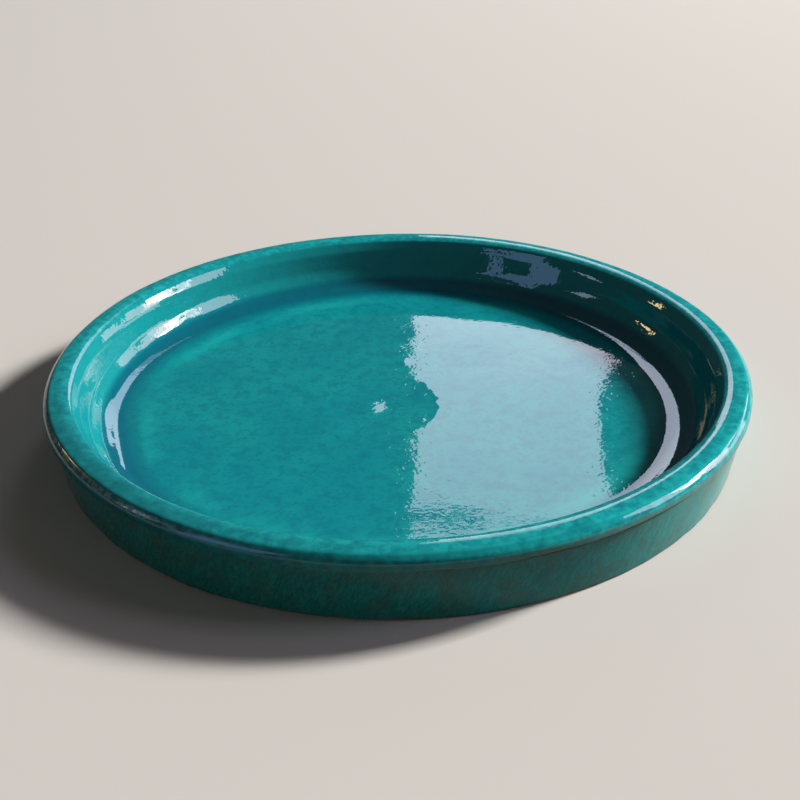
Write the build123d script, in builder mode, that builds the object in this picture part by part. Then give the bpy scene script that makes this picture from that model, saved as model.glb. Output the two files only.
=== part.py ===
from build123d import *
import os

# A round plant saucer: a dish of turned and fired clay under two coats of coloured glaze.
# The origin is on the table under its centre, and +Z is the axis that it was turned on.

# Clay body: the rim, the lip that slopes into the dish, and the collar round them
rim_diameter = 269.0
rim_height = 26.5
rim_width = 9.65
rim_outer_rounding = 2.7
crown_fall = 0.4
lip_run = 2.45
lip_drop = 1.3
lip_rounding = 5.9
lip_edge_rounding = 1.5
collar_height = 4.8
collar_step = 1.2
collar_edge_rounding = 0.62
collar_neck_rounding = 0.4

# Clay body: the wall, which inside flares under the lip, drops steeply and slopes in to the floor
wall_batter = 2.9
flare_run = 2.35
flare_drop_share = 0.153
flare_rounding = 6.0
steep_run = 2.4
steep_drop_share = 0.408
steep_rounding = 8.0
flank_run = 6.1
floor_height = 5.6
cove_radius = 11.0

# Clay body: the foot ring and the shallow recess that is trimmed out inside it
foot_rounding = 1.2
foot_ring_width = 16.0
recess_depth = 1.6
recess_wall_run = 2.4
recess_rounding = 1.2

# Inside glaze: poured in, over the rim and down the collar, and pooled in the cove
floor_coat = 0.6
rim_coat = 0.5
pool_run = 6.2
pool_rise = 3.2
pool_rounding = 17.0
pooled_cove_radius = 4.0
coated_outer_rounding = 3.3
coated_lip_rounding = 6.3
coated_edge_rounding = 1.75

# Outside glaze: a thinner coat on the wall, between bare clay under the collar and at the foot
wall_coat = 0.4
bare_neck = 0.5
bare_foot = 0.3

# Radii and heights that follow from the sizes above
rim_radius = rim_diameter / 2
rim_inner_radius = rim_radius - rim_width
lip_radius = rim_inner_radius + lip_run
lip_edge_height = rim_height - lip_drop
collar_bottom = rim_height - collar_height
wall_top_radius = rim_radius - collar_step
base_radius = wall_top_radius - wall_batter
foot_inner_radius = base_radius - foot_ring_width
recess_radius = foot_inner_radius - recess_wall_run
dish_depth = lip_edge_height - floor_height
wall_head_radius = rim_inner_radius - flare_run
wall_head_height = lip_edge_height - flare_drop_share * dish_depth
wall_foot_radius = wall_head_radius - steep_run
wall_foot_height = wall_head_height - steep_drop_share * dish_depth
floor_radius = wall_foot_radius - flank_run
flank_lean_share = flank_run / (wall_foot_height - floor_height)
floor_coat_top = floor_height + floor_coat
pool_edge_height = floor_coat_top + pool_rise
pool_edge_radius = wall_foot_radius - rim_coat - flank_lean_share * (wall_foot_height - pool_edge_height)
collar_coat_bottom = collar_bottom + collar_edge_rounding
wall_coat_top = collar_bottom - collar_neck_rounding - bare_neck
wall_coat_bottom = foot_rounding + bare_foot
mid_rim_radius = (rim_radius + rim_inner_radius) / 2
mid_floor_height = (floor_height + recess_depth) / 2


def outer_wall_radius(height):
    """Radius of the clay's straight outer wall at a height above the table."""
    return base_radius + wall_batter * height / collar_bottom


# Clay body: one turned piece, from the recess underneath, round the foot ring, up the wall,
# over the overhanging collar and the rim, and down the inside to the floor
with BuildPart() as clay_body:
    with BuildSketch(Plane.XZ):
        with BuildLine():
            outline = FilletPolyline(
                (0, recess_depth),
                (recess_radius, recess_depth),
                (foot_inner_radius, 0),
                (base_radius, 0),
                (wall_top_radius, collar_bottom),
                (rim_radius, collar_bottom),
                (rim_radius, rim_height - crown_fall),
                (lip_radius, rim_height),
                (rim_inner_radius, lip_edge_height),
                (wall_head_radius, wall_head_height),
                (wall_foot_radius, wall_foot_height),
                (floor_radius, floor_height),
                (0, floor_height),
                radius=[
                    recess_rounding,
                    recess_rounding,
                    foot_rounding,
                    collar_neck_rounding,
                    collar_edge_rounding,
                    rim_outer_rounding,
                    lip_rounding,
                    lip_edge_rounding,
                    flare_rounding,
                    steep_rounding,
                    cove_radius,
                ],
            )
            Line(outline @ 1, outline @ 0)
        make_face()
    revolve(axis=Axis.Z)

# Inside glaze: its surface is an outline of its own, thin over the edges of the rim and deep
# in the cove, and the clay is cut out of it, so that the coat lies on the clay all over
with BuildPart() as inside_glaze:
    with BuildSketch(Plane.XZ):
        with BuildLine():
            surface = FilletPolyline(
                (0, floor_coat_top),
                (pool_edge_radius - pool_run, floor_coat_top),
                (pool_edge_radius, pool_edge_height),
                (wall_foot_radius - rim_coat, wall_foot_height),
                (wall_head_radius - rim_coat, wall_head_height),
                (rim_inner_radius - rim_coat, lip_edge_height + rim_coat),
                (lip_radius - rim_coat, rim_height + rim_coat),
                (rim_radius + rim_coat, rim_height + rim_coat - crown_fall),
                (rim_radius + rim_coat, collar_coat_bottom),
                radius=[
                    pool_rounding,
                    pooled_cove_radius,
                    steep_rounding,
                    flare_rounding,
                    coated_edge_rounding,
                    coated_lip_rounding,
                    coated_outer_rounding,
                ],
            )
            Polyline(
                surface @ 1,
                (mid_rim_radius, collar_coat_bottom),
                (floor_radius, mid_floor_height),
                (0, mid_floor_height),
                surface @ 0,
            )
        make_face()
    revolve(axis=Axis.Z)
    add(clay_body.part, mode=Mode.SUBTRACT)

# Outside glaze: a conical skin on the straight wall, with the clay cut out of it
with BuildPart() as outside_glaze:
    with BuildSketch(Plane.XZ):
        with BuildLine():
            Polyline(
                (outer_wall_radius(wall_coat_bottom) + wall_coat, wall_coat_bottom),
                (outer_wall_radius(wall_coat_top) + wall_coat, wall_coat_top),
                (outer_wall_radius(wall_coat_top) - wall_coat, wall_coat_top),
                (outer_wall_radius(wall_coat_bottom) - wall_coat, wall_coat_bottom),
                close=True,
            )
        make_face()
    revolve(axis=Axis.Z)
    add(clay_body.part, mode=Mode.SUBTRACT)

clay_body.part.label = "clay_body"
inside_glaze.part.label = "inside_glaze"
outside_glaze.part.label = "outside_glaze"

os.makedirs("parts", exist_ok=True)
export_step(clay_body.part, "parts/clay_body.step")
export_step(inside_glaze.part, "parts/inside_glaze.step")
export_step(outside_glaze.part, "parts/outside_glaze.step")
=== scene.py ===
import math
import bpy
import numpy as np
from mathutils import Matrix, Vector


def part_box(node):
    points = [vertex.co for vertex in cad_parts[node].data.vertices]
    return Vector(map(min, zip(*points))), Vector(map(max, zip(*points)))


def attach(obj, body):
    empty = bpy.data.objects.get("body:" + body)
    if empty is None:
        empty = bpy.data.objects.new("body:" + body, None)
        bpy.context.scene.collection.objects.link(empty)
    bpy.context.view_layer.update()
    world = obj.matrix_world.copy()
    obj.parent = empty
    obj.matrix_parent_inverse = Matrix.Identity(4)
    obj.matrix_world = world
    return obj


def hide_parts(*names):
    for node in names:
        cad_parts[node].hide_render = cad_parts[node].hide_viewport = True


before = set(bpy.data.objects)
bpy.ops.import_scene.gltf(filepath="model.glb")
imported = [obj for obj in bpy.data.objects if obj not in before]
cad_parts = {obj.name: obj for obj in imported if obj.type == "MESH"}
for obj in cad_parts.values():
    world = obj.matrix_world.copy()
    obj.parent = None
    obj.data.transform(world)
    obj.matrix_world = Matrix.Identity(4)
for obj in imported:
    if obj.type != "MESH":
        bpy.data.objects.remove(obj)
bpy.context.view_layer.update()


# Clay body: a dish of brown stoneware, thrown on the wheel and turned over to trim its foot ring.
# It stays bare underneath, at the foot and in a line under the collar, and is glazed elsewhere.
# Hand work leaves it a little out of round, with fine rings from the trimming tool underneath.
rim_radius, _, rim_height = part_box("clay_body")[1]
rim_width = 0.00965
bevel_run = 0.0023
bevel_rise = 0.0021
bevel_rounding = 0.0026
crown_fall = 0.0004
lip_run = 0.00245
lip_drop = 0.0013
lip_rounding = 0.0065
lip_edge_rounding = 0.0015
collar_height = 0.0053
collar_step = 0.0009
collar_edge_rounding = 0.0006
collar_neck_rounding = 0.0003
wall_batter = 0.0032
flare_run = 0.00235
flare_drop_share = 0.153
flare_rounding = 0.006
steep_run = 0.0024
steep_drop_share = 0.408
steep_rounding = 0.008
flank_run = 0.0061
floor_height = 0.0056
cove_radius = 0.011
foot_rounding = 0.0006
foot_ring_width = 0.016
recess_depth = 0.0016
recess_wall_run = 0.0024
recess_rounding = 0.0012
trimming_pitch = 0.0036
trimming_depth = 0.00009

rim_inner_radius = rim_radius - rim_width
lip_radius = rim_inner_radius + lip_run
lip_edge_height = rim_height - lip_drop
collar_bottom = rim_height - collar_height
wall_top_radius = rim_radius - collar_step
base_radius = wall_top_radius - wall_batter
foot_inner_radius = base_radius - foot_ring_width
recess_radius = foot_inner_radius - recess_wall_run
wall_head_radius = rim_inner_radius - flare_run
wall_head_height = lip_edge_height - flare_drop_share * (lip_edge_height - floor_height)
wall_foot_radius = wall_head_radius - steep_run
wall_foot_height = wall_head_height - steep_drop_share * (lip_edge_height - floor_height)
floor_radius = wall_foot_radius - flank_run

# Waves round the rim: how many, how far each way in metres, and where they start in radians.
out_of_round = [(2, 0.00030, -0.5), (3, 0.00016, 1.1), (7, 0.00006, 0.0)]
out_of_level = [(2, 0.00020, 2.2), (5, 0.00012, 0.4)]

clay_spokes = 280
fine_row = 0.0008
floor_row = 0.0022
centre_row = 0.0009
centre_radius = 0.034
cove_approach = 0.012
underside_height = 2 * recess_depth
fewest_arc_rows = 4


def row_spacing(radius, height):
    """Distance between rows of points: fine underneath, at the centre, the cove, the wall and the rim."""
    if height < underside_height or radius > floor_radius - cove_approach:
        return fine_row
    return centre_row if radius < centre_radius else floor_row


def straight_rows(start, end):
    """Points from start up to end, without the end, at the spacing that their place asks for."""
    length = np.linalg.norm(end - start)
    rows, gone = [], 0.0
    while gone < length - centre_row / 2:
        point = start + (end - start) * gone / length
        rows.append(point)
        gone += row_spacing(*point)
    return rows


def rounded_outline(corners, radii):
    """Rows of (radius, height) along an outline whose inner corners are rounded to arcs."""
    corners = [np.array(corner) for corner in corners]
    rows, start = [], corners[0]
    for before, corner, after, radius in zip(corners, corners[1:], corners[2:], radii):
        way_in = (corner - before) / np.linalg.norm(corner - before)
        way_out = (after - corner) / np.linalg.norm(after - corner)
        turn = math.atan2(way_in[0] * way_out[1] - way_in[1] * way_out[0], way_in @ way_out)
        reach = radius * math.tan(abs(turn) / 2)
        rows += straight_rows(start, corner - way_in * reach)
        side = np.array([-way_in[1], way_in[0]]) * math.copysign(1, turn)
        steps = max(fewest_arc_rows, math.ceil(abs(turn) * radius / fine_row))
        for step in range(steps):
            bend = turn * step / steps
            spun = np.array([
                side[0] * math.cos(bend) - side[1] * math.sin(bend),
                side[0] * math.sin(bend) + side[1] * math.cos(bend),
            ])
            rows.append(corner - way_in * reach + radius * (side - spun))
        start = corner + way_out * reach
    return np.array(rows + straight_rows(start, corners[-1]) + [corners[-1]])


def spun_points(outline, spokes):
    """Every row of an outline at every spoke, as points of space."""
    angle = np.linspace(0, 2 * math.pi, spokes, endpoint=False)
    radius, height = outline[:, :1], outline[:, 1:]
    return np.stack([radius * np.cos(angle), radius * np.sin(angle), height + 0 * angle], axis=-1)


def outward(outline):
    """Unit normals of an outline's rows, to the right of the way that it runs."""
    along = np.gradient(outline, axis=0)
    along /= np.linalg.norm(along, axis=1)[:, None]
    return np.stack([along[:, 1], -along[:, 0]], axis=1)


def raised(points, outline, lift):
    """Points moved along the outline's normals by lift, which is given for each of them."""
    normal = outward(outline)
    angle = np.linspace(0, 2 * math.pi, points.shape[1], endpoint=False)
    moved = points.copy()
    moved[..., 0] += lift * normal[:, :1] * np.cos(angle)
    moved[..., 1] += lift * normal[:, :1] * np.sin(angle)
    moved[..., 2] += lift * normal[:, 1:]
    return moved


def ramp(value, start, end):
    """A rise from 0 at start to 1 at end, level beyond them. The end may be the smaller of the two."""
    return np.clip((value - start) / (end - start), 0, 1)


def rim_waves(angle, kinds):
    """Sum of the waves round the rim, at an angle about the axis."""
    return sum(swing * np.cos(count * angle + phase) for count, swing, phase in kinds)


def hand_thrown(points):
    """Points with the dish's slight lack of roundness, which grows from the foot to the rim."""
    across, along, height = points[..., 0], points[..., 1], points[..., 2]
    share = ramp(height, 0, rim_height) ** 2
    angle = np.arctan2(along, across)
    radius = np.maximum(np.hypot(across, along), centre_radius)
    grown = 1 + share * rim_waves(angle, out_of_round) / radius
    lifted = height + share * rim_waves(angle, out_of_level)
    return np.stack([across * grown, along * grown, lifted], axis=-1)


def turned_piece(name, points, on_axis, attributes, material):
    """A closed round piece from rows of points: its two end rows meet on the axis or each other."""
    rows, spokes = points.shape[:2]
    if on_axis:
        ring = points[1:-1].reshape(-1, 3)
        centres = [points[0].mean(axis=0), points[-1].mean(axis=0)]
        vertices = np.concatenate([ring, centres])
    else:
        vertices = points.reshape(-1, 3)
    bands = rows - 3 if on_axis else rows
    rings = rows - 2 if on_axis else rows
    here = np.arange(spokes)
    beside = (here + 1) % spokes
    faces = []
    for band in range(bands):
        lower = band * spokes
        upper = (band + 1) % rings * spokes
        faces += np.stack([lower + here, lower + beside, upper + beside, upper + here], axis=1).tolist()
    if on_axis:
        first, last = len(vertices) - 2, len(vertices) - 1
        top = (rings - 1) * spokes
        faces += [(first, int(beside[k]), int(here[k])) for k in range(spokes)]
        faces += [(top + int(here[k]), top + int(beside[k]), last) for k in range(spokes)]
    mesh = bpy.data.meshes.new(name)
    mesh.from_pydata(vertices.tolist(), [], faces)
    for title, values in attributes.items():
        spread = np.broadcast_to(values, points.shape[:2])
        if on_axis:
            spread = np.concatenate([spread[1:-1].ravel(), [spread[0].mean(), spread[-1].mean()]])
        held = mesh.attributes.new(title, "FLOAT", "POINT")
        held.data.foreach_set("value", spread.ravel().astype(np.float32))
    mesh.polygons.foreach_set("use_smooth", [True] * len(mesh.polygons))
    mesh.materials.append(material)
    mesh.update()
    piece = bpy.data.objects.new(name, mesh)
    bpy.context.scene.collection.objects.link(piece)
    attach(piece, "root")
    return piece


def new_material(name):
    """A material with one plain shader, and the tree, the shader and the object's own coordinates."""
    material = bpy.data.materials.new(name)
    material.use_nodes = True
    tree = material.node_tree
    where = tree.nodes.new("ShaderNodeTexCoord").outputs["Object"]
    return material, tree, tree.nodes["Principled BSDF"], where


def add(tree, kind, sockets, out=0, **settings):
    """A node with its settings, and values or links for its sockets. Gives one of its outputs."""
    made = tree.nodes.new(kind)
    for title, value in settings.items():
        setattr(made, title, value)
    for socket, value in sockets.items():
        if isinstance(value, bpy.types.NodeSocket):
            tree.links.new(value, made.inputs[socket])
        else:
            made.inputs[socket].default_value = value
    return made.outputs[out]


def noise(tree, where, size, detail=3.0, roughness=0.55, bend=0.0):
    """Cloudy noise from 0 to 1 with patches of about the given size in metres, bent as far as asked."""
    sockets = {"Vector": where, "Scale": 1 / size, "Detail": detail}
    sockets.update({"Roughness": roughness, "Distortion": bend})
    return add(tree, "ShaderNodeTexNoise", sockets)


def between(tree, value, low, high, start=0.0, end=1.0):
    """Start where the value is low, end where it is high, and eased from one to the other between."""
    sockets = {"Value": value, "From Min": low, "From Max": high, "To Min": start, "To Max": end}
    return add(tree, "ShaderNodeMapRange", sockets, interpolation_type="SMOOTHSTEP")


def times(tree, first, second):
    """Product of two values."""
    return add(tree, "ShaderNodeMath", {0: first, 1: second}, operation="MULTIPLY")


def plus(tree, first, second):
    """Sum of two values."""
    return add(tree, "ShaderNodeMath", {0: first, 1: second}, operation="ADD")


def mixed(tree, share, under, over):
    """Colour under, covered by colour over as far as share says."""
    return add(tree, "ShaderNodeMix", {0: share, 6: under, 7: over}, out=2, data_type="RGBA")


def relief(tree, height, depth, below=None):
    """Surface normals for a height from 0 to 1 that stands for depth metres, on a relief below if any."""
    sockets = {"Height": height, "Distance": depth}
    if below is not None:
        sockets["Normal"] = below
    return add(tree, "ShaderNodeBump", sockets)


clay_brown = (0.230, 0.172, 0.108, 1)
clay_pale = (0.300, 0.228, 0.148, 1)
clay_dark = (0.130, 0.094, 0.060, 1)
iron_speck = (0.030, 0.020, 0.016, 1)

clay_finish, tree, shader, where = new_material("fired_clay")
cloud = noise(tree, where, size=0.022, detail=5)
grain = noise(tree, where, size=0.0012, detail=4, roughness=0.7)
specks = noise(tree, where, size=0.0017, detail=1)
colour = mixed(tree, between(tree, cloud, 0.35, 0.65), clay_brown, clay_pale)
colour = mixed(tree, between(tree, grain, 0.45, 0.25, end=0.6), colour, clay_dark)
colour = mixed(tree, between(tree, specks, 0.70, 0.76), colour, iron_speck)
tree.links.new(colour, shader.inputs["Base Color"])
tree.links.new(between(tree, grain, 0.2, 0.8, start=0.62, end=0.85), shader.inputs["Roughness"])
tree.links.new(relief(tree, grain, depth=0.00012), shader.inputs["Normal"])

clay_outline = rounded_outline(
    [
        (0, recess_depth),
        (recess_radius, recess_depth),
        (foot_inner_radius, 0),
        (base_radius, 0),
        (wall_top_radius, collar_bottom),
        (rim_radius, collar_bottom),
        (rim_radius, rim_height - crown_fall - bevel_rise),
        (rim_radius - bevel_run, rim_height - crown_fall),
        (lip_radius, rim_height),
        (rim_inner_radius, lip_edge_height),
        (wall_head_radius, wall_head_height),
        (wall_foot_radius, wall_foot_height),
        (floor_radius, floor_height),
        (0, floor_height),
    ],
    [
        recess_rounding,
        recess_rounding,
        foot_rounding,
        collar_neck_rounding,
        collar_edge_rounding,
        bevel_rounding,
        bevel_rounding,
        lip_rounding,
        lip_edge_rounding,
        flare_rounding,
        steep_rounding,
        cove_radius,
    ],
)
clay_points = spun_points(clay_outline, clay_spokes)
in_recess = (clay_outline[:, :1] < recess_radius) & (clay_outline[:, 1:] < underside_height)
turns = np.arctan2(clay_points[..., 1], clay_points[..., 0]) / (2 * math.pi)
spiral = np.cos(2 * math.pi * (clay_outline[:, :1] / trimming_pitch + turns))
clay_points = raised(clay_points, clay_outline, in_recess * trimming_depth * spiral)
clay_body = turned_piece("clay_body", hand_thrown(clay_points), True, {}, clay_finish)
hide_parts("clay_body")


# Inside glaze: a thick coat of copper turquoise glaze, poured in and tipped out before the last firing.
# It runs down the wall and pools deep and blue in the cove, thins at the rim's two edges, and goes
# over the rim and down the collar's face, where it ends in an uneven line.
glaze_spokes = 640
floor_coat = 0.0006
rim_coat = 0.0005
pool_run = 0.0062
pool_rise = 0.0032
pool_rounding = 0.0236
pooled_cove_radius = 0.0050
coated_lip_rounding = 0.0083
coated_edge_rounding = 0.00175
bead_rounding = 0.0004
bedded_depth = 0.0012

floor_coat_top = floor_height + floor_coat
collar_coat_bottom = collar_bottom + collar_edge_rounding
flank_lean = flank_run / (wall_foot_height - floor_height)
pool_edge_height = floor_coat_top + pool_rise
pool_edge_radius = wall_foot_radius - rim_coat - flank_lean * (wall_foot_height - pool_edge_height)

glaze_surface = rounded_outline(
    [
        (rim_radius - bedded_depth, collar_coat_bottom),
        (rim_radius + rim_coat, collar_coat_bottom),
        (rim_radius + rim_coat, rim_height + rim_coat - crown_fall - bevel_rise),
        (rim_radius + rim_coat - bevel_run, rim_height + rim_coat - crown_fall),
        (lip_radius - rim_coat, rim_height + rim_coat),
        (rim_inner_radius - rim_coat, lip_edge_height + rim_coat),
        (wall_head_radius - rim_coat, wall_head_height),
        (wall_foot_radius - rim_coat, wall_foot_height),
        (pool_edge_radius, pool_edge_height),
        (pool_edge_radius - pool_run, floor_coat_top),
        (0, floor_coat_top),
    ],
    [
        bead_rounding,
        bevel_rounding,
        bevel_rounding,
        coated_lip_rounding,
        coated_edge_rounding,
        flare_rounding,
        steep_rounding,
        pooled_cove_radius,
        pool_rounding,
    ],
)
glaze_bed = np.array([
    (0, floor_height - bedded_depth),
    (floor_radius, floor_height - bedded_depth),
    (wall_foot_radius + bedded_depth, wall_foot_height),
    (wall_head_radius + bedded_depth, wall_head_height),
    (rim_inner_radius + bedded_depth, lip_edge_height - bedded_depth),
    (rim_radius - 2 * bedded_depth, rim_height - 2 * bedded_depth),
])
inside_outline = np.concatenate([glaze_bed, glaze_surface])
inside_points = spun_points(inside_outline, glaze_spokes)
on_surface = np.arange(len(inside_outline))[:, None] >= len(glaze_bed)
radius, height = inside_outline[:, :1], inside_outline[:, 1:]
level = inside_points[..., :2]
angle = np.arctan2(inside_points[..., 1], inside_points[..., 0])
bearing = angle % (2 * math.pi)
on_floor = height < pool_edge_height

wave_count = 36
wave_length_shares = (0.7, 1.5)


def waves(points, length, swing, seed):
    """A smooth random swell over points in space, of about swing each way, the same on every run."""
    draw = np.random.default_rng(seed)
    ways = draw.normal(size=(wave_count, 3))
    ways /= np.linalg.norm(ways, axis=1)[:, None]
    ways *= 2 * math.pi / (length * draw.uniform(*wave_length_shares, (wave_count, 1)))
    phases = draw.uniform(0, 2 * math.pi, wave_count)
    swell = np.cos(points.reshape(-1, 3) @ ways.T + phases).sum(axis=1) / math.sqrt(wave_count)
    return swing * swell.reshape(points.shape[:-1])


# The fired surface isn't flat: it swells a little, and less on the floor than elsewhere.
broad_swell = {"length": 0.060, "swing": 0.00006, "seed": 11}
short_swell = {"length": 0.020, "swing": 0.000018, "seed": 12}
fine_swell = {"length": 0.0075, "swing": 0.000004, "seed": 13}
floor_calm_share = 0.6
calm = np.where(on_floor, floor_calm_share, 1.0)
swell = waves(inside_points, **broad_swell)
swell += calm * waves(inside_points, **short_swell)
swell += calm * waves(inside_points, **fine_swell)

# Throwing rings show faintly on the inner wall.
ring_pitch = 0.0036
ring_depth = 0.00001
ring_wander = {"length": 0.05, "swing": 1.5, "seed": 14}
inner_wall = (radius < rim_inner_radius) & (height > pool_edge_height) & (height < lip_edge_height)
rings = np.cos(2 * math.pi * height / ring_pitch + angle + waves(inside_points, **ring_wander))
swell += inner_wall * ring_depth * rings

# The floor has a shallow dip with a lump in it, a long hollow at one side and a few small lumps.
dip_place, dip_reach, dip_depth = (-0.0064, -0.0033), (0.0225, 0.0255), 0.00036
dip_edge = {"length": 0.0065, "swing": 0.07, "seed": 18}
lump_place, lump_reach, lump_height = (-0.0112, -0.0041), (0.0048, 0.0072), 0.00029
lump_skin = {"length": 0.0022, "swing": 0.08, "seed": 17}
hollow_place, hollow_reach, hollow_depth = (0.0920, -0.0300), (0.0130, 0.0340), 0.00015
small_lump_places = [(-0.0004, 0.0685), (-0.0010, 0.0480), (0.0026, 0.0335)]
small_lump_reach, small_lump_height = (0.0030, 0.0030), 0.00007


def oval(place, reach):
    """Squares of the distances from a place on the floor, 1 at the oval's reach in x and y."""
    return (((level - np.array(place)) / np.array(reach)) ** 2).sum(axis=-1)


dip = np.clip(1 - (1 + waves(inside_points, **dip_edge)) * oval(dip_place, dip_reach), 0, 1)
lump = np.exp(-oval(lump_place, lump_reach)) * (1 + waves(inside_points, **lump_skin))
hollow = np.exp(-oval(hollow_place, hollow_reach))
swell += on_floor * (lump_height * lump - dip_depth * dip - hollow_depth * hollow)
for place in small_lump_places:
    swell += on_floor * small_lump_height * np.exp(-oval(place, small_lump_reach))
inside_points = raised(inside_points, inside_outline, on_surface * swell)


def bell(value, middle, reach):
    """1 at the middle, falling off smoothly within the reach to both sides."""
    return np.exp(-((value - middle) / reach) ** 2)


# The coat was tipped out towards one side, where its line on the collar hangs lower.
# Beside that side the rim is painted darker, as painted shade on the side turned away from the key lamp,
# and its outer edge there is made rougher.
tipped_to = math.radians(188)
tipped_run = 0.0007
shade_and_dull_to, shade_and_dull_spread = math.radians(222), math.radians(38)
line_long_sway = {"length": 0.030, "swing": 0.00022, "seed": 15}
line_short_sway = {"length": 0.009, "swing": 0.00012, "seed": 16}
line_sway_height = 0.0012
tipped_and_shade_side = 0.5 + 0.5 * np.cos(angle - tipped_to)
shade_and_dull_side = bell(bearing, shade_and_dull_to, shade_and_dull_spread)
line_sway = waves(inside_points, **line_long_sway) + waves(inside_points, **line_short_sway)
line_sway -= tipped_run * tipped_and_shade_side
near_line = ramp(height, collar_coat_bottom + line_sway_height, collar_coat_bottom)
near_line *= radius > rim_radius - 2 * bedded_depth
inside_points[..., 2] += near_line * line_sway

# The pool crept inwards and back again on that side, and its outer edge is pinched in there.
creep_in, creep_in_spread, creep_in_depth = math.radians(195), math.radians(10), 0.0015
creep_back, creep_back_spread, creep_back_depth = math.radians(160), math.radians(14), 0.0010
creep_start, creep_full = floor_radius - 0.0140, floor_radius - 0.0100
creep_wane, creep_end = floor_radius, floor_radius + 0.0060
pinch_place, pinch_spread, pinch_depth = math.radians(182), math.radians(40), 0.0005
pinch_start, pinch_top = floor_radius - 0.0030, floor_radius + 0.0010
creep = creep_back_depth * bell(bearing, creep_back, creep_back_spread)
creep -= creep_in_depth * bell(bearing, creep_in, creep_in_spread)
creep *= ramp(radius, creep_start, creep_full) * ramp(radius, creep_end, creep_wane)
pinch = pinch_depth * bell(bearing, pinch_place, pinch_spread)
pinch *= ramp(radius, pinch_start, pinch_top) * ramp(radius, creep_end, pinch_top)
grown = 1 + on_surface * (creep - pinch) / np.maximum(radius, centre_radius)
inside_points[..., :2] *= grown[..., None]

# Shares and distances, kept with each point, that say where each colour of the glaze lies.
pool_start, pool_full = floor_radius - 0.0118, floor_radius - 0.0048
pool_line, pool_line_fade = floor_coat_top + 0.0050, 0.0022
tide_radius, tide_reach = floor_radius - 0.0155, 0.0034
shoulder_lean, shoulder_spread = 26, 16
edge_lean, edge_full_lean = 30, 42
crown_reach = 0.0011
wall_foot_fade, wall_head_fade = 0.002, 0.001
far_away = 1.0
facing = outward(inside_outline)
lean = np.degrees(np.arctan2(facing[:, :1], facing[:, 1:]))
on_face = radius > rim_radius - bead_rounding
past_lip = radius > lip_radius
pooled = ramp(radius, pool_start, pool_full) * ramp(height, pool_line, pool_line - pool_line_fade)
tide_line = bell(radius, tide_radius, tide_reach) * on_floor
line_distance = np.where(on_face, height - collar_coat_bottom, far_away)
rim_share = np.maximum(ramp(height, lip_edge_height, rim_height), on_face)
shoulder_sheen_and_thin = bell(lean, shoulder_lean, shoulder_spread) * past_lip
dull_side_edge = shade_and_dull_side * ramp(lean, edge_lean, edge_full_lean) * past_lip
crown = bell(radius, lip_radius + lip_run, crown_reach) * (height > rim_height)
wall_share = ramp(height, pool_edge_height, pool_edge_height + wall_foot_fade)
wall_share *= ramp(radius, rim_inner_radius, rim_inner_radius - wall_head_fade)

glaze_teal = (0.0040, 0.236, 0.270, 1)
glaze_green = (0.0060, 0.276, 0.286, 1)
glaze_shade = (0.0028, 0.178, 0.226, 1)
glaze_light = (0.014, 0.405, 0.405, 1)
glaze_wall = (0.009, 0.232, 0.242, 1)
glaze_painted_shade = (0.006, 0.118, 0.142, 1)
glaze_blue = (0.0030, 0.110, 0.180, 1)
glaze_deep = (0.0020, 0.100, 0.150, 1)
glaze_brown = (0.180, 0.255, 0.198, 1)
plain_gloss_tint = (1, 1, 1, 1)
pool_gloss_tint = (0.66, 1.0, 1.0, 1)
bare_line_height = 0.0030
bare_line_core = 0.0003
bare_line_wander = 0.0006
matt_line_core = 0.0010


def stored(tree, title):
    """A value that the mesh holds for each of its points."""
    return add(tree, "ShaderNodeAttribute", {}, out="Fac", attribute_name=title)


inside_finish, tree, shader, where = new_material("turquoise_glaze_inside")
blotch = noise(tree, where, size=0.030, detail=4)
mottle = noise(tree, where, size=0.0056, detail=4, roughness=0.6)
spots = noise(tree, where, size=0.0032, detail=3, roughness=0.6)
fleck = noise(tree, where, size=0.0014, detail=3, roughness=0.6)
on_rim = stored(tree, "rim_share")
on_wall = stored(tree, "wall_share")
in_pool = stored(tree, "pooled")
off_line = stored(tree, "line_distance")
colour = mixed(tree, between(tree, blotch, 0.35, 0.68), glaze_teal, glaze_green)
colour = mixed(tree, between(tree, mottle, 0.56, 0.36, end=0.56), colour, glaze_shade)
colour = mixed(tree, between(tree, fleck, 0.52, 0.32, end=0.55), colour, glaze_shade)
colour = mixed(tree, times(tree, on_wall, 0.6), colour, glaze_wall)
light_spots = times(tree, between(tree, spots, 0.42, 0.63, start=0.12, end=0.80), on_rim)
colour = mixed(tree, light_spots, colour, glaze_light)
blue_spots = times(tree, between(tree, spots, 0.40, 0.27, end=0.45), on_rim)
colour = mixed(tree, blue_spots, colour, glaze_blue)
blue_crown = times(tree, stored(tree, "crown"), between(tree, blotch, 0.30, 0.60, end=0.15))
colour = mixed(tree, blue_crown, colour, glaze_blue)
# Painted lighter on the rim's outer shoulder all round: partly thinner glaze over the edge, partly a
# painted sheen on the rounding.
light_shoulder = between(tree, mottle, 0.36, 0.62, start=0.10, end=0.70)
light_shoulder = times(tree, stored(tree, "shoulder_sheen_and_thin"), light_shoulder)
colour = mixed(tree, light_shoulder, colour, glaze_light)
washed = times(tree, stored(tree, "tide_line"), between(tree, blotch, 0.40, 0.62, end=0.50))
colour = mixed(tree, washed, colour, glaze_light)
deepened = times(tree, in_pool, between(tree, mottle, 0.2, 0.8, start=0.80))
colour = mixed(tree, deepened, colour, glaze_deep)
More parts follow.
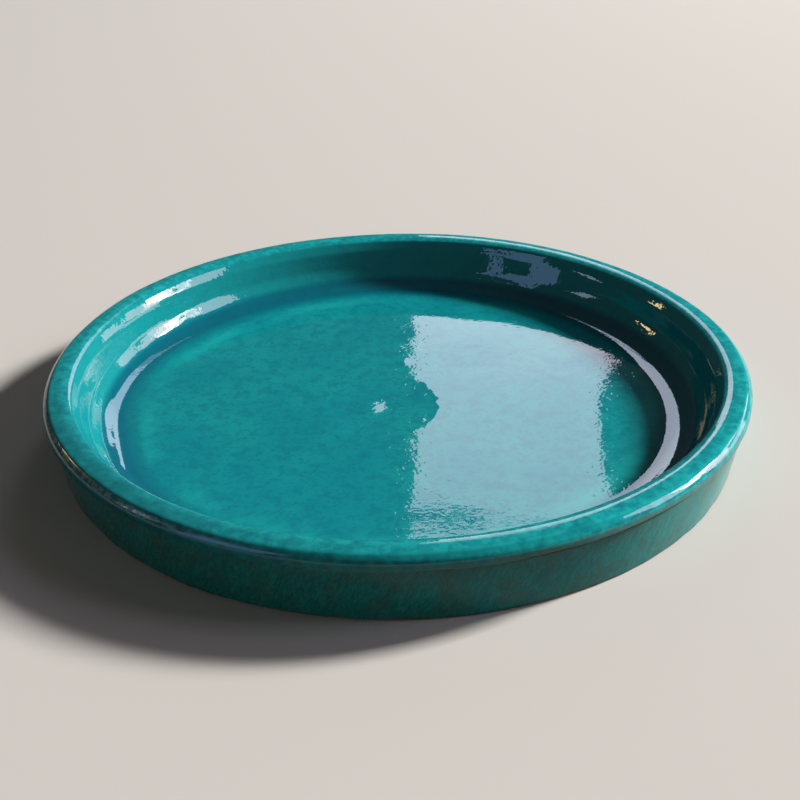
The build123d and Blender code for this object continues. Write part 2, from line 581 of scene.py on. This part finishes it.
# Painted shade: the rim is painted darker on the side turned away from the key lamp.
painted_shade_rim = times(tree, stored(tree, "shade_and_dull_side"), on_rim)
painted_shade_rim = times(tree, painted_shade_rim, between(tree, mottle, 0.3, 0.7, start=0.85, end=0.60))
colour = mixed(tree, painted_shade_rim, colour, glaze_painted_shade)
wander = between(tree, mottle, 0.2, 0.8, start=-bare_line_wander, end=bare_line_wander)
bared = between(tree, plus(tree, off_line, wander), bare_line_height, bare_line_core, end=0.66)
# The bare line is real, but it is painted fainter on the side turned away from the key lamp, which is
# painted shade.
bared = times(tree, bared, between(tree, stored(tree, "tipped_and_shade_side"), 0.85, 0.35))
colour = mixed(tree, bared, colour, glaze_brown)
tree.links.new(colour, shader.inputs["Base Color"])

matt_line = between(tree, off_line, bare_line_height, matt_line_core)
dull_edge = between(tree, spots, 0.35, 0.65, start=0.12, end=0.40)
dull_edge = times(tree, stored(tree, "dull_side_edge"), dull_edge)
dulled = plus(tree, times(tree, matt_line, 0.3), dull_edge)
glassy = between(tree, mottle, 0.2, 0.8, start=0.02, end=0.045)
tree.links.new(plus(tree, glassy, dulled), shader.inputs["Roughness"])
gloss = plus(tree, between(tree, matt_line, 0, 1, start=0.5, end=0.06), times(tree, in_pool, 0.22))
tree.links.new(gloss, shader.inputs["Specular IOR Level"])
gloss_tint = mixed(tree, in_pool, plain_gloss_tint, pool_gloss_tint)
tree.links.new(gloss_tint, shader.inputs["Specular Tint"])
shader.inputs["IOR"].default_value = 1.52

ripple = relief(tree, noise(tree, where, size=0.0034, detail=0), depth=0.000010)
peel = relief(tree, noise(tree, where, size=0.0013, detail=0), depth=0.000007, below=ripple)
grains = between(tree, noise(tree, where, size=0.0019, detail=0), 0.64, 0.86)
grainy = relief(tree, grains, depth=0.000010, below=peel)
runs = times(tree, plus(tree, noise(tree, where, size=0.0026, detail=1), -0.5), on_wall)
tree.links.new(relief(tree, runs, depth=0.000050, below=grainy), shader.inputs["Normal"])

inside_glaze = turned_piece(
    "inside_glaze",
    hand_thrown(inside_points),
    True,
    {
        "pooled": pooled,
        "tide_line": tide_line,
        "line_distance": line_distance,
        "rim_share": rim_share,
        "shoulder_sheen_and_thin": shoulder_sheen_and_thin,
        "crown": crown,
        "wall_share": wall_share,
        "tipped_and_shade_side": tipped_and_shade_side,
        "shade_and_dull_side": shade_and_dull_side,
        "dull_side_edge": dull_side_edge,
    },
    inside_finish,
)
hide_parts("inside_glaze")


# Outside glaze: the same glaze brushed thinly on the outer wall, so the clay darkens and greys it.
# Brush and runs leave it streaked downwards. It goes up to the collar, and stops in a wiped line
# where the foot's rounding begins.
wall_coat = 0.0004
coat_edge_rounding = 0.0003
wall_coat_top = collar_bottom
wall_coat_bottom = foot_rounding


def outer_wall_radius(height):
    """Radius of the clay's straight outer wall at a height."""
    return base_radius + wall_batter * height / collar_bottom


skin_outline = rounded_outline(
    [
        (outer_wall_radius(wall_coat_bottom) - bedded_depth, wall_coat_bottom),
        (outer_wall_radius(wall_coat_bottom) + wall_coat, wall_coat_bottom),
        (outer_wall_radius(wall_coat_top) + wall_coat, wall_coat_top),
        (outer_wall_radius(wall_coat_top) - bedded_depth, wall_coat_top),
    ],
    [coat_edge_rounding, coat_edge_rounding],
)
skin_points = spun_points(skin_outline, glaze_spokes)
skin_radius, skin_height = skin_outline[:, :1], skin_outline[:, 1:]

# The skin swells a little, and both its lines waver.
skin_long_swell = {"length": 0.040, "swing": 0.00005, "seed": 21}
skin_short_swell = {"length": 0.011, "swing": 0.00002, "seed": 22}
foot_line_height = 0.004
foot_long_sway = {"length": 0.035, "swing": 0.00035, "seed": 23}
foot_short_sway = {"length": 0.010, "swing": 0.00015, "seed": 24}
neck_line_height = 0.002
neck_sway = {"length": 0.020, "swing": 0.00006, "seed": 25}
neck_line_drop = 0.00012
outside = skin_radius > outer_wall_radius(skin_height) + wall_coat / 2
swell = waves(skin_points, **skin_long_swell) + waves(skin_points, **skin_short_swell)
skin_points = raised(skin_points, skin_outline, outside * swell)
near_foot = ramp(skin_height, wall_coat_bottom + foot_line_height, wall_coat_bottom)
near_neck = ramp(skin_height, wall_coat_top - neck_line_height, wall_coat_top)
foot_sway = waves(skin_points, **foot_long_sway) + waves(skin_points, **foot_short_sway)
skin_points[..., 2] += near_foot * foot_sway
skin_points[..., 2] += near_neck * (waves(skin_points, **neck_sway) - neck_line_drop)
around = np.arctan2(skin_points[..., 1], skin_points[..., 0])
# Painted light: this share is 1 on the side that the key lamp lights, where the wall is painted greyer and
# its brown neck line shows.
painted_lit_side = 0.5 - 0.5 * np.cos(around - tipped_to)

wall_green = (0.010, 0.222, 0.204, 1)
wall_teal = (0.006, 0.210, 0.214, 1)
wall_grey = (0.050, 0.410, 0.378, 1)
wall_dark = (0.006, 0.135, 0.136, 1)
wall_brown = (0.084, 0.092, 0.062, 1)
brush_slant = -3.0
brush_squeeze = (1, 1, 0.26)
foot_thin_height = 0.0008
foot_thin_wander = 0.0008
neck_thin_height = 0.0013
neck_thin_wander = 0.0005
neck_wash_height = 0.0105

outside_finish, tree, shader, where = new_material("turquoise_glaze_outside")
rise = add(tree, "ShaderNodeSeparateXYZ", {"Vector": where}, out="Z")
slant = {"Vector": where, "Angle": times(tree, rise, brush_slant)}
slanted = add(tree, "ShaderNodeVectorRotate", slant, rotation_type="Z_AXIS")
streaked = add(tree, "ShaderNodeMapping", {"Vector": slanted, "Scale": brush_squeeze})
streak = noise(tree, streaked, size=0.0013, detail=4, bend=2.4)
web = noise(tree, streaked, size=0.0034, bend=1.6)
blotch = noise(tree, where, size=0.026, detail=4)
patch = noise(tree, where, size=0.0095, detail=4, roughness=0.6)
fleck = noise(tree, where, size=0.0015)
painted_lit_side_share = stored(tree, "painted_lit_side")
colour = mixed(tree, between(tree, blotch, 0.35, 0.65), wall_green, wall_teal)
colour = mixed(tree, between(tree, streak, 0.46, 0.70, end=0.62), colour, wall_grey)
colour = mixed(tree, between(tree, streak, 0.47, 0.28, end=0.60), colour, wall_dark)
hairs = times(tree, between(tree, web, 0.455, 0.50), between(tree, web, 0.545, 0.50))
colour = mixed(tree, times(tree, hairs, 0.50), colour, wall_grey)
# Painted light: grey patches lighten the side that the key lamp lights.
painted_lit_grey = times(tree, painted_lit_side_share, between(tree, patch, 0.3, 0.7, start=0.12, end=0.30))
colour = mixed(tree, painted_lit_grey, colour, wall_grey)
colour = mixed(tree, between(tree, patch, 0.48, 0.66, end=0.38), colour, wall_brown)
colour = mixed(tree, between(tree, patch, 0.42, 0.30, end=0.28), colour, wall_dark)
colour = mixed(tree, between(tree, fleck, 0.60, 0.78, end=0.25), colour, wall_grey)
wander = between(tree, streak, 0.2, 0.8, start=-foot_thin_wander, end=foot_thin_wander)
foot_thin = plus(tree, rise, wander)
foot_thin = between(tree, foot_thin, wall_coat_bottom + foot_thin_height, wall_coat_bottom)
colour = mixed(tree, times(tree, foot_thin, 0.5), colour, wall_brown)
neck_wash = between(tree, rise, wall_coat_top - neck_wash_height, wall_coat_top, end=0.42)
neck_wash = times(tree, neck_wash, between(tree, blotch, 0.3, 0.62))
colour = mixed(tree, neck_wash, colour, wall_brown)
wander = between(tree, fleck, 0.2, 0.8, start=-neck_thin_wander, end=neck_thin_wander)
neck_thin = plus(tree, rise, wander)
neck_thin = between(tree, neck_thin, wall_coat_top - neck_thin_height, wall_coat_top, end=0.8)
# The brown neck line is thin glaze, but it is painted only on the lit side: partly real, partly painted
# light.
neck_thin = times(tree, neck_thin, between(tree, painted_lit_side_share, 0.3, 0.7))
colour = mixed(tree, neck_thin, colour, wall_brown)
tree.links.new(colour, shader.inputs["Base Color"])

tree.links.new(between(tree, streak, 0.2, 0.8, start=0.12, end=0.22), shader.inputs["Roughness"])
shader.inputs["IOR"].default_value = 1.5
shader.inputs["Specular IOR Level"].default_value = 0.12
ripple = relief(tree, streak, depth=0.00002)
tree.links.new(relief(tree, fleck, depth=0.00002, below=ripple), shader.inputs["Normal"])

held_values = {"painted_lit_side": painted_lit_side}
outside_glaze = turned_piece("outside_glaze", hand_thrown(skin_points), False, held_values, outside_finish)
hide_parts("outside_glaze")


# Studio floor: a plain pale sheet under the foot ring, dull all over, with a faint warm light around it.
# It looks pale, but throws back less light than it shows, so that the outer wall stays dark.
floor_reach = 6.0
floor_colour = (0.60, 0.58, 0.55, 1)
floor_bounce = (0.20, 0.19, 0.18, 1)
room_colour = (1.0, 0.97, 0.90, 1)
room_strength = 0.05

floor_corners = [(x * floor_reach, y * floor_reach, 0) for x, y in [(-1, -1), (1, -1), (1, 1), (-1, 1)]]
floor_mesh = bpy.data.meshes.new("studio_floor")
floor_mesh.from_pydata(floor_corners, [], [(0, 1, 2, 3)])
floor_finish, tree, shader, where = new_material("studio_floor")
rays = tree.nodes.new("ShaderNodeLightPath").outputs
seen = plus(tree, plus(tree, rays["Is Camera Ray"], rays["Is Glossy Ray"]), rays["Is Transmission Ray"])
tree.links.new(mixed(tree, seen, floor_bounce, floor_colour), shader.inputs["Base Color"])
shader.inputs["Roughness"].default_value = 1.0
shader.inputs["Specular IOR Level"].default_value = 0.0
floor_mesh.materials.append(floor_finish)
studio_floor = bpy.data.objects.new("studio_floor", floor_mesh)
bpy.context.scene.collection.objects.link(studio_floor)

world = bpy.data.worlds.new("studio")
world.use_nodes = True
world.node_tree.nodes["Background"].inputs["Color"].default_value = room_colour
world.node_tree.nodes["Background"].inputs["Strength"].default_value = room_strength
bpy.context.scene.world = world


# Lamps: one key lamp far off to the right lights the dish and casts its shadow.
# The softboxes stand closer. The glaze mirrors them, as long patches on the floor and the wall and
# as thin lines along the rim. Some only show there, as pale cards do, and give no light.
softbox_distance = 3.0
middle_distance = 2.9
key_distance = 9.0
warm_white = (1.0, 0.97, 0.93)
soft_white = (1.0, 0.92, 0.84)
sky_blue = (0.32, 0.52, 1.0)
pale_blue = (0.78, 0.80, 1.0)


def softbox(
    name, bearings, elevations, brightness, colour, distance=softbox_distance, mirrored=True, lighting=True
):
    """A lamp facing the dish, between two bearings from +Y towards +X and two elevations, in degrees.
    Brightness 1 is white. It can be kept from showing in the glaze, or kept from lighting the dish."""
    bearing, elevation = math.radians(sum(bearings) / 2), math.radians(sum(elevations) / 2)
    width = 2 * distance * math.cos(elevation) * math.tan(math.radians(bearings[1] - bearings[0]) / 2)
    height = 2 * distance * math.tan(math.radians(elevations[1] - elevations[0]) / 2)
    lamp = bpy.data.lights.new(name, "AREA")
    lamp.shape = "RECTANGLE"
    lamp.size, lamp.size_y = width, height
    lamp.energy = brightness * math.pi * width * height
    lamp.color = colour
    level = distance * math.cos(elevation)
    place = Vector((level * math.sin(bearing), level * math.cos(bearing), distance * math.sin(elevation)))
    stand = bpy.data.objects.new(name, lamp)
    stand.location = place
    stand.rotation_euler = (-place).to_track_quat("-Z", "Y").to_euler()
    stand.visible_glossy = mirrored
    stand.visible_diffuse = lighting
    bpy.context.scene.collection.objects.link(stand)


softbox("key_lamp", (65.3, 74.3), (24.1, 32.7), 302.0, warm_white, key_distance, mirrored=False)
softbox("key_softbox", (66, 79), (22.0, 31.0), 13.0, (1.0, 0.70, 0.72), lighting=False)
softbox("key_softbox_middle", (67, 77), (25.0, 29.5), 18.0, soft_white, middle_distance, lighting=False)
softbox("key_softbox_side", (79, 86), (21.0, 29.3), 16.0, (1.0, 0.84, 0.82), lighting=False)
softbox("key_softbox_edge", (81, 87), (29.3, 34.0), 9.0, (1.0, 0.86, 0.92), lighting=False)
softbox("key_softbox_end", (56, 66), (17.5, 25.0), 5.5, (1.0, 0.70, 0.78), lighting=False)
softbox("key_softbox_tail", (43, 56), (10.5, 19.0), 4.0, (1.0, 0.76, 0.86), lighting=False)
softbox("key_softbox_foot", (66, 77), (14.0, 22.0), 8.0, (1.0, 0.66, 0.74), lighting=False)
softbox("key_softbox_low", (56, 77), (2.0, 14.0), 3.2, (1.0, 0.86, 0.90), lighting=False)
softbox("side_softbox", (84.5, 102.5), (20.0, 40.0), 5.4, (0.90, 0.80, 1.0))
softbox("back_softbox_low", (1.3, 3.6), (16.2, 19.2), 3.4, (0.76, 0.82, 1.0))
softbox("back_softbox_band", (1.3, 13.2), (19.2, 26.4), 3.55, (0.84, 0.83, 0.98))
softbox("back_softbox_mid", (1.0, 13.2), (26.4, 35.2), 3.35, (0.80, 0.79, 0.98))
softbox("back_softbox_high", (5.5, 13.2), (35.4, 37.8), 3.4, pale_blue)
softbox("back_softbox_high_side", (1.0, 5.5), (35.8, 37.8), 3.4, pale_blue)
softbox("back_softbox_top", (1.0, 13.2), (37.8, 42.0), 1.2, (0.70, 0.80, 1.0))
softbox("front_softbox", (-134.5, -113), (14.0, 44.0), 2.2, sky_blue, lighting=False)
softbox("front_softbox_low", (-124, -113), (4.0, 14.0), 2.2, sky_blue, lighting=False)
softbox("front_softbox_edge", (-141.5, -136.5), (5.0, 44.0), 2.2, sky_blue, lighting=False)
softbox("left_softbox", (-100, -92), (14.0, 34.0), 3.8, (0.60, 0.74, 1.0), lighting=False)
softbox("left_lamp", (-66, -58.5), (19.5, 23.0), 12.5, (1.0, 0.76, 0.40), lighting=False)
softbox("front_fill", (-200, -145), (8.0, 40.0), 0.27, (0.94, 0.97, 0.96), mirrored=False)


# Camera: stands in front of the dish, about 30 degrees above its foot and tilted by one degree.
# The lens and the picture's centre are given in pixels of a square picture.
view_angle = math.radians(29.26)
view_roll = math.radians(-1.01)
view_distance_share = 3.582
picture_width = 800
focal_pixels = 1200
centre_pixel = (398.0, 413.4)
sensor = 36.0

camera_data = bpy.data.cameras.new("camera")
camera_data.sensor_width = sensor
camera_data.lens = sensor * focal_pixels / picture_width
camera_data.shift_x = (picture_width / 2 - centre_pixel[0]) / picture_width
camera_data.shift_y = (centre_pixel[1] - picture_width / 2) / picture_width
back = Vector((0, -math.cos(view_angle), math.sin(view_angle)))
level_right = Vector((1, 0, 0))
level_up = back.cross(level_right)
right = level_right * math.cos(view_roll) + level_up * math.sin(view_roll)
up = level_up * math.cos(view_roll) - level_right * math.sin(view_roll)
stand = Matrix.Translation(back * view_distance_share * (rim_radius + rim_coat))
camera = bpy.data.objects.new("camera", camera_data)
camera.matrix_world = stand @ Matrix((right, up, back)).transposed().to_4x4()
bpy.context.scene.collection.objects.link(camera)
bpy.context.scene.camera = camera
bpy.context.scene.view_settings.view_transform = "Standard"
